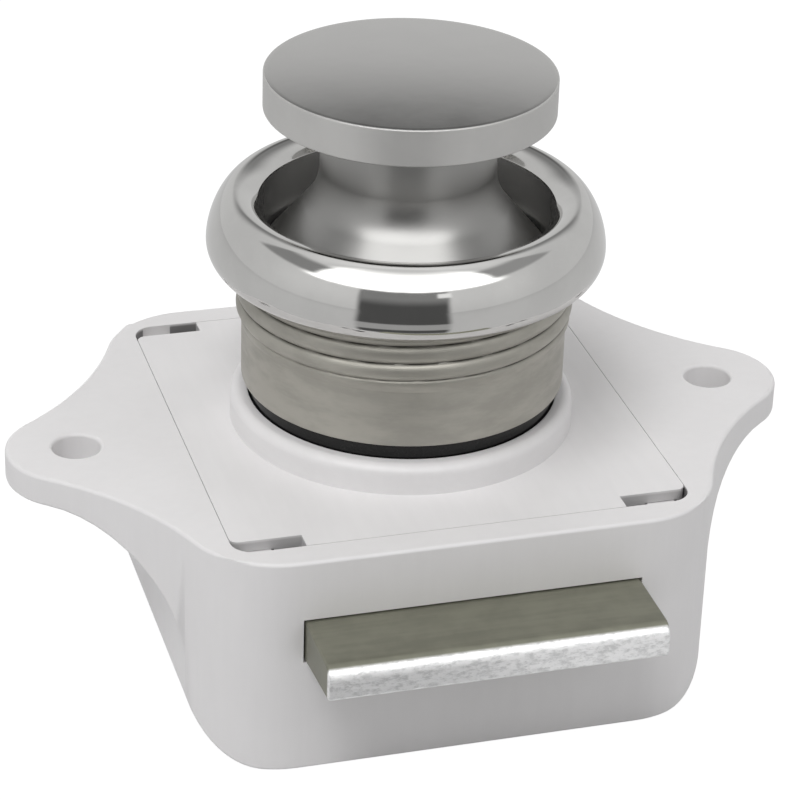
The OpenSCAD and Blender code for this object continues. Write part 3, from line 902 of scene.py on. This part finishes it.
@dataclass
class DoorFitting:
    """Threaded sleeve through the door, the ring at its foot and the rosette on it."""

    bore: float = 11.0
    top_bore: float = 11.35
    step_r: float = 11.65
    step_z: float = 4.7
    body: float = 12.15
    bore_step_z: float = 13.1
    thread_z: float = 7.95
    pitch: float = 1.4
    thread_h: float = 0.42
    thread_start: float = 0.9
    thread_power: float = 0.5
    thread_end: float = 0.2
    thread_step: float = 0.06
    thread_sides: int = 288
    belly: float = 1.65
    crest: float = 12.7
    lip_drop: float = 0.9
    crown_power: float = 1.7
    hem: float = 2.2
    hem_angle: float = 55.0
    groove: float = 3.7
    skin: float = 0.37
    crown_steps: int = 30
    fall_steps: int = 12

    def build(self) -> Iterable[Piece]:
        """Builds the ring, the sleeve and the rosette, and yields each piece."""
        yield self.ring()
        yield self.sleeve()
        yield self.rosette()

    def ring(self) -> Piece:
        """Makes the black ring, with round edges.

        Returns:
            The piece.
        """
        low, high = in_mm(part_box("seal_ring"))
        out, bottom, top = high.x, low.z, high.z
        inner = self.bore + 0.05
        outline = eased([(inner, bottom, 0.08), (out, bottom, 0.12), (out, top, 0.14),
                         (inner, top, 0.12)])
        return mount(turned("black_ring", outline), BLACK_RUBBER, Body.CASE, Slot.RUBBER, "seal_ring")

    def thread(self, turn: float, radius: float, height: float) -> float:
        """Gives the sleeve's radius where the right-hand thread runs.

        Args:
            turn: place round the axis, from 0 to 1.
            radius: radius of the outline at this height.
            height: height in millimetres.

        Returns:
            The radius in millimetres.
        """
        if radius < self.body - 0.01:
            return radius
        climb = (height - self.thread_z) / self.pitch
        if climb < 0.0:
            return radius
        wave = abs(math.sin(math.pi * (climb - turn))) ** self.thread_power
        fade = min(1.0, climb / self.thread_start)
        return radius + self.thread_h * wave * fade

    def sleeve(self) -> Piece:
        """Makes the sleeve with its helical thread.

        Returns:
            The piece.
        """
        low, high = in_mm(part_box("threaded_sleeve"))
        bottom, top = low.z, high.z
        run = top - self.thread_end - self.thread_z
        count = int(run / self.thread_step)
        wall = [(self.body, self.thread_z + run * i / count) for i in range(count + 1)]
        foot = eased([(self.bore, self.step_z, 0.1), (self.step_r, self.step_z),
                      (self.step_r, bottom, 0.1), (self.body, bottom, 0.2),
                      (self.body, self.thread_z)])[:-1]
        head = eased([(self.body, top - 0.3), (self.body, top, 0.15), (self.top_bore, top, 0.1),
                      (self.top_bore, self.bore_step_z), (self.bore, self.bore_step_z, 0.1)])[1:]
        piece = turned("threaded_tube", foot + wall + head, self.thread_sides, self.thread)
        return mount(piece, TURNED, Body.CASE, Slot.NICKEL, "threaded_sleeve")

    def rosette(self) -> Piece:
        """Makes the rosette: a crown falling inward from its crest, a short hem, the sleeve's groove.

        Returns:
            The piece.
        """
        low, high = in_mm(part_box("rosette"))
        out, bottom, top = high.x, low.z, high.z
        belly, power = bottom + self.belly, 2.0 / self.crown_power
        turns = [math.radians(90.0 * i / self.crown_steps) for i in range(self.crown_steps)]
        crown = [(self.crest + (out - self.crest) * math.cos(turn) ** power,
                  belly + (top - belly) * math.sin(turn) ** power) for turn in turns]
        shares = [i / self.fall_steps for i in range(self.fall_steps)]
        fall = [(self.crest - (self.crest - self.bore) * share, top - self.lip_drop * share ** 2)
                for share in shares]
        drop = math.sin(math.radians(self.hem_angle))
        turns = [math.radians(-self.hem_angle * (1.0 - share)) for share in shares]
        hem = [(out - self.hem * (1.0 - math.cos(turn)), belly + self.belly * math.sin(turn) / drop)
               for turn in turns]
        hem[0] = (*hem[0], 0.16)
        inside = [(self.body + self.skin, bottom + self.groove, 0.1),
                  (self.body + self.skin, bottom, 0.12)]
        rest_r, rest_z = self.top_bore - 0.05, bottom + 0.3
        seat = [(self.bore, top - self.lip_drop, 0.1), (self.bore, rest_z, 0.05),
                (rest_r, rest_z, 0.05), (rest_r, bottom + self.groove, 0.1)]
        outline = eased(seat + inside + hem + crown + fall)
        piece = turned("trim_rosette", outline, BRIGHT_STEPS)
        return mount(piece, TRIM_PLATE, Body.CASE, Slot.CHROME, "rosette")


@dataclass
class Button:
    """Spool-shaped knob on its plunger, with the screw that joins them."""

    frame: dict
    cap_t: float = 2.8
    dome: float = 0.35
    neck: float = 6.5
    flange: float = 10.7
    flange_t: float = 1.5
    flare_angle: float = 40.0
    flare_round: float = 4.7
    under_cap: float = 1.2
    socket: float = 5.03
    socket_h: float = 3.5
    screw_hole: float = 1.53
    screw_depth: float = 9.0

    def build(self) -> Iterable[Piece]:
        """Builds the knob, dresses the plunger's pieces and yields each piece."""
        yield self.knob()
        yield dress(self.frame, PLUNGER_PLASTIC, "plunger")
        yield dress(self.frame, TRACK_PLASTIC, "cam_track")
        yield dress(self.frame, SCREW_STEEL, "knob_screw", "knob_washer")

    def knob(self) -> Piece:
        """Makes the knob: a domed cap, a flared neck and a thin flange.

        Returns:
            The piece.
        """
        low, high = in_mm(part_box("knob"))
        foot, crown, cap = low.z, high.z, high.y
        rim, under = crown - self.dome, crown - self.dome - self.cap_t
        top, turn = foot + self.flange_t, math.radians(self.flare_angle)
        cone = self.flange - self.neck - self.flare_round * (1.0 - math.cos(turn))
        start = top + self.flare_round * math.sin(turn) + cone / math.tan(turn)
        outline = [(self.socket, foot, 0.15), (self.flange, foot, 0.12), (self.flange, top, 0.1)]
        outline += arc((self.neck + self.flare_round, start), self.flare_round,
                       180.0 + self.flare_angle, 180.0, 20)
        outline += arc((self.neck + self.under_cap, under - self.under_cap), self.under_cap,
                       180.0, 90.0, 6)
        outline += [(cap, under, 0.16), (cap, rim, 0.12)]
        outline += [(cap * u, rim + self.dome * (1.0 - u * u))
                    for u in (0.96, 0.85, 0.7, 0.55, 0.4, 0.25, 0.12, 0.0)]
        hole = foot + self.screw_depth
        outline += [(0.0, hole), (self.screw_hole, hole), (self.screw_hole, foot + self.socket_h, 0.1),
                    (self.socket, foot + self.socket_h)]
        piece = turned("spool_knob", eased(outline), BRIGHT_STEPS)
        return mount(piece, KNOB_PLATE, Body.BUTTON, Slot.CHROME, "knob")


@dataclass
class Catch:
    """Wire follower, the leaf spring that keeps it in the track, and the return spring."""

    frame: dict
    floor_z: float = -15.8
    coil_r: float = 3.75
    wire_r: float = 0.35
    turns: float = 9.0
    pressed: float = 10.4

    def build(self) -> Iterable[Piece]:
        """Builds the return spring, dresses the wire and the leaf, and yields each piece."""
        yield self.return_spring()
        yield dress(self.frame, SPRING_STEEL, "cam_follower", "follower_clip")

    def return_spring(self) -> Piece:
        """Winds the return spring.

        Returns:
            The piece.
        """
        low, high = in_mm(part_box("return_spring"))
        piece = coil("knob_spring", self.coil_r, self.wire_r, self.turns, low.z, high.z)
        mount(piece, SPRING_STEEL, Body.CASE, Slot.SPRING, "return_spring")
        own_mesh(piece)
        return piece


@dataclass
class Bolt:
    """Zinc-plated bolt with its two spring pins and springs."""

    frame: dict
    nose_edge: float = 0.2
    sharp: float = 40.0
    coil_r: float = 1.9
    wire_r: float = 0.3
    turns: float = 9.0
    back_y: float = 17.85
    travel: float = 6.5
    names: tuple[str, ...] = ("left", "right")

    def build(self) -> Iterable[Piece]:
        """Builds the bolt and its springs, dresses the pins and yields each piece."""
        yield self.plate()
        for side in self.names:
            yield dress(self.frame, SCREW_STEEL, "spring_pin_" + side)
            yield self.spring(side)

    def plate(self) -> Piece:
        """Makes the bolt's plate from its CAD form, with eased edges."""
        piece = eased_copy(self.frame["nodes"]["bolt"], "bolt_plate", self.nose_edge, lambda edge: True,
                           sharp=self.sharp)
        return mount(piece, ZINC, Body.BOLT, Slot.ZINC, "bolt")

    def spring(self, side: str) -> Piece:
        """Winds one bolt spring.

        Args:
            side: left or right.

        Returns:
            The spring.
        """
        node = "bolt_spring_" + side
        low, high = in_mm(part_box(node))
        centre = (low + high) / 2.0 * MM
        piece = coil("coil_" + side, self.coil_r, self.wire_r, self.turns, low.y, high.y)
        lie = Matrix.Rotation(math.radians(-90.0), 4, "X")
        piece.data.transform(Matrix.Translation((centre.x, 0.0, centre.z)) @ lie)
        mount(piece, SPRING_STEEL, Body.CASE, Slot.SPRING, node)
        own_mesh(piece)
        return piece


@dataclass(frozen=True)
class Window:
    """A patch of the surroundings that bright metal mirrors, placed by its direction.

    The azimuth is counted in degrees from straight behind the object, to the right, and the widths are
    half widths. The light is what the patch sends out, where 1 is white.
    """

    azimuth: float
    half_width: float
    low: float
    high: float
    light: float
    soft: float = 5.0
    soft_side: float = 6.0
    soft_top: float = 5.0


@dataclass(frozen=True)
class Lamp:
    """A square area lamp: its place and side in millimetres, and its power in watts."""

    name: str
    place: tuple[float, float, float]
    side: float
    power: float


@dataclass
class Studio:
    """Camera at the photograph's angle, soft lamps, a pale floor and what bright metal mirrors."""

    yaw: float = -16.84
    pitch: float = 28.28
    roll: float = 1.86
    lens: float = 139.4
    sensor: float = 36.0
    reach_m: tuple[float, float] = (0.01, 20.0)
    place: tuple[float, float, float] = (-60.21, -198.75, 112.57)
    floor_z: float = -17.45
    floor_half: float = 900.0
    sky: float = 0.42
    mirror: float = 0.72
    windows: tuple[Window, ...] = (
        Window(0.0, 180.0, 60.0, 120.0, 1.0, 40.0),  # the white ceiling
        Window(180.0, 75.0, 5.0, 100.0, 0.84, 30.0, 40.0),  # the pale wall in front
        Window(0.0, 34.0, 26.0, 56.0, 0.29, 12.0, 36.0, 12.0),  # a grey field behind
        Window(0.0, 7.0, 29.0, 42.0, 0.14, 6.0, 9.0, 6.0),  # its dark middle
        Window(180.0, 60.0, 28.0, 60.0, 3.0, 4.0, 18.0, 40.0),  # the lamp over the camera
        Window(180.0, 25.0, -80.0, 26.0, 0.1, 4.0, 4.0, 3.0),  # the dark field under it
        Window(180.0, 25.0, 12.0, 26.0, 0.3, 12.0, 4.0, 3.0),  # its paler top
        Window(-98.0, 25.0, 32.0, 54.0, 0.32, 5.0, 8.0, 10.0),  # a grey field on the left
        Window(97.0, 25.0, 33.0, 56.0, 0.4, 5.0, 8.0, 10.0),  # a grey field on the right
        Window(157.0, 4.0, 18.0, 24.0, 1.2, 2.0, 2.0, 2.0),  # a small light in the dark field
    )
    lamps: tuple[Lamp, ...] = (
        Lamp("key", (-200.0, -200.0, 560.0), 300.0, 1.8),
        Lamp("left", (-430.0, -60.0, 180.0), 300.0, 0.15),
        Lamp("fill", (360.0, -200.0, 300.0), 320.0, 0.3),
        Lamp("rim", (60.0, 420.0, 380.0), 300.0, 0.35),
    )
    floor_dark: Colour = (0.68, 0.68, 0.685)
    floor_light: Colour = (0.7, 0.7, 0.705)
    glow: float = 1.14
    glow_lost: float = 0.46
    glow_seen: float = 0.85
    glow_mirrored: float = 0.8
    # A dark reflection painted into the floor, seen only in mirrors, and the band where it turns paler.
    dark_reflection_light: tuple[float, float] = (0.1, 0.45)
    dark_reflection_low: float = 36.0
    dark_reflection_half: float = 24.5
    dark_reflection_soft: float = 6.0
    dark_reflection_soft_side: float = 0.04
    paler_band_low: float = 54.0
    paler_band_high: float = 108.0
    paler_band_soft: float = 4.0

    def build(self) -> None:
        """Builds the camera, the lamps, the floor and the surroundings."""
        self.camera()
        self.surroundings()
        for lamp in self.lamps:
            self.light(lamp)
        self.floor()

    def camera(self) -> None:
        """Places the camera as the photograph's perspective shows it."""
        yaw, pitch, roll = (math.radians(a) for a in (self.yaw, self.pitch, self.roll))
        level = math.cos(pitch)
        back = Vector((math.sin(yaw) * level, -math.cos(yaw) * level, math.sin(pitch)))
        right = Vector((math.cos(yaw), math.sin(yaw), 0.0))
        up = back.cross(right)
        side = right * math.cos(roll) + up * math.sin(roll)
        lift = up * math.cos(roll) - right * math.sin(roll)
        lens = bpy.data.cameras.new("camera")
        lens.lens, lens.sensor_width = self.lens, self.sensor
        lens.clip_start, lens.clip_end = self.reach_m
        camera = bpy.data.objects.new("camera", lens)
        turn = Matrix((side, lift, back)).transposed().to_4x4()
        camera.matrix_world = Matrix.Translation(Vector(self.place) * MM) @ turn
        bpy.context.scene.collection.objects.link(camera)
        bpy.context.scene.camera = camera

    def light(self, lamp: Lamp) -> None:
        """Adds a lamp that shines at the object and isn't mirrored in it.

        Args:
            lamp: the lamp.
        """
        data = bpy.data.lights.new(lamp.name, "AREA")
        data.size, data.energy = lamp.side * MM, lamp.power
        placed = bpy.data.objects.new(lamp.name, data)
        placed.location = Vector(lamp.place) * MM
        placed.rotation_euler = Vector(lamp.place).to_track_quat("Z", "Y").to_euler()
        placed.visible_glossy = False
        bpy.context.scene.collection.objects.link(placed)

    def surroundings(self) -> None:
        """Writes the world: white to the camera, a soft sky to dull surfaces, windows to the metal."""
        world = bpy.data.worlds.new("studio")
        bpy.context.scene.world = world
        world.use_nodes = True
        graph = Graph(world.node_tree)
        sight = graph.add("TexCoord").outputs["Generated"]
        height = graph.math("ARCSINE", graph.split(sight)[2])
        mirrored: object = self.mirror
        for window in self.windows:
            share = self.window_share(graph, sight, height, window)
            mirrored = graph.add("Mix", {0: share, 2: mirrored, 3: window.light}).outputs[0]
        rays = graph.add("LightPath")
        lit = graph.add("Mix", {0: rays.outputs["Is Glossy Ray"], 2: self.sky, 3: mirrored}).outputs[0]
        seen = graph.add("Mix", {0: rays.outputs["Is Camera Ray"], 2: lit, 3: 1.0}).outputs[0]
        shown = graph.add("Background", {0: rgba(WHITE), 1: seen})
        graph.add("OutputWorld", {0: shown.outputs[0]})

    def window_share(self, graph: Graph, sight: Socket, height: Socket, window: Window) -> Socket:
        """Gives the share of a window in a direction.

        Args:
            graph: the world's graph.
            sight: the direction.
            height: its elevation in radians.
            window: the window.

        Returns:
            The share, from 0 to 1.
        """
        turn = self.turn_from(graph, sight, window.azimuth)
        edges = ((turn, window.half_width, -window.soft_side), (height, window.low, window.soft),
                 (height, window.high, -window.soft_top))
        return graph.times(*(graph.edge(value, math.radians(at), math.radians(soft) / 2.0)
                             for value, at, soft in edges))

    def turn_from(self, graph: Graph, way: Socket, azimuth: float) -> Socket:
        """Gives how far a direction is turned from an azimuth.

        Args:
            graph: the graph to add to.
            way: the direction, or a place seen from the knob's axis.
            azimuth: degrees from straight behind the object, to the right.

        Returns:
            The angle, from 0 to pi.
        """
        away = math.radians(90.0 + self.yaw - azimuth)
        ahead = (math.cos(away), math.sin(away), 0.0)
        aside = (math.sin(away), -math.cos(away), 0.0)
        along, across = (
            graph.add("VectorMath", {0: way, 1: axis}, operation="DOT_PRODUCT").outputs["Value"]
            for axis in (ahead, aside))
        return graph.math("ABSOLUTE", graph.math("ARCTAN2", across, along))

    def floor(self) -> None:
        """Lays the pale floor under the case."""
        half, depth = self.floor_half * MM, self.floor_z * MM
        mesh = bmesh.new()
        corners = ((-1, -1), (1, -1), (1, 1), (-1, 1))
        mesh.faces.new([mesh.verts.new((x * half, y * half, depth)) for x, y in corners])
        piece = new_piece("floor", mesh)
        material = bpy.data.materials.new("floor_white")
        material.use_nodes = True
        self.write_floor(Graph(material.node_tree))
        piece.data.materials.append(material)

    def write_floor(self, graph: Graph) -> None:
        """Writes the floor: white to the camera with the object's shadow, and, seen only in mirrors, a
        painted dark reflection that turns paler in a band.

        Args:
            graph: the graph of the floor's material.
        """
        rays = graph.add("LightPath").outputs
        glossy, seen = rays["Is Glossy Ray"], rays["Is Camera Ray"]
        place = graph.place()
        paper = graph.noise(place, per_mm=0.05)
        painted_shade_tone = graph.add("BsdfDiffuse", {0: graph.tint(paper, self.floor_dark, self.floor_light)})
        power = graph.math("SUBTRACT", self.glow, graph.times(glossy, self.glow_lost))
        glow = graph.add("Emission", {0: rgba(WHITE), 1: power})
        share = graph.math("ADD", graph.times(seen, self.glow_seen),
                           graph.times(glossy, self.glow_mirrored), clamp=True)
        mixed = graph.add("MixShader", {0: share, 1: painted_shade_tone.outputs[0], 2: glow.outputs[0]})
        # Painted reflection: mirrors see the floor dark towards the camera, paler in a band further out.
        away = graph.add("VectorMath", {0: place}, operation="LENGTH").outputs["Value"]
        half = math.radians(self.dark_reflection_half)
        sides = graph.edge(self.turn_from(graph, place, 180.0), half, -self.dark_reflection_soft_side)
        shadow = graph.times(sides, graph.ramp(away, self.dark_reflection_low, self.dark_reflection_low + self.dark_reflection_soft), glossy)
        paling = graph.times(graph.edge(away, self.paler_band_low, self.paler_band_soft),
                           graph.edge(away, self.paler_band_high, -2.0 * self.paler_band_soft))
        dark_reflection = graph.add("Emission", {0: rgba(WHITE), 1: graph.ramp(paling, 0.0, 1.0, *self.dark_reflection_light)})
        laid = graph.add("MixShader", {0: shadow, 1: mixed.outputs[0], 2: dark_reflection.outputs[0]})
        graph.add("OutputMaterial", {0: laid.outputs[0]})


def main() -> None:
    """Builds each sub-assembly in order."""
    logging.basicConfig(level=logging.INFO, format="%(name)s: %(message)s")
    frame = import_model()
    scene = bpy.context.scene
    scene.view_settings.view_transform = "Standard"
    for assembly in (Case(frame), DoorFitting(), Button(frame), Catch(frame), Bolt(frame)):
        for piece in assembly.build():
            LOG.info("%s: %s", type(assembly).__name__, piece.name)
    Studio().build()


if __name__ == "__main__":
    main()
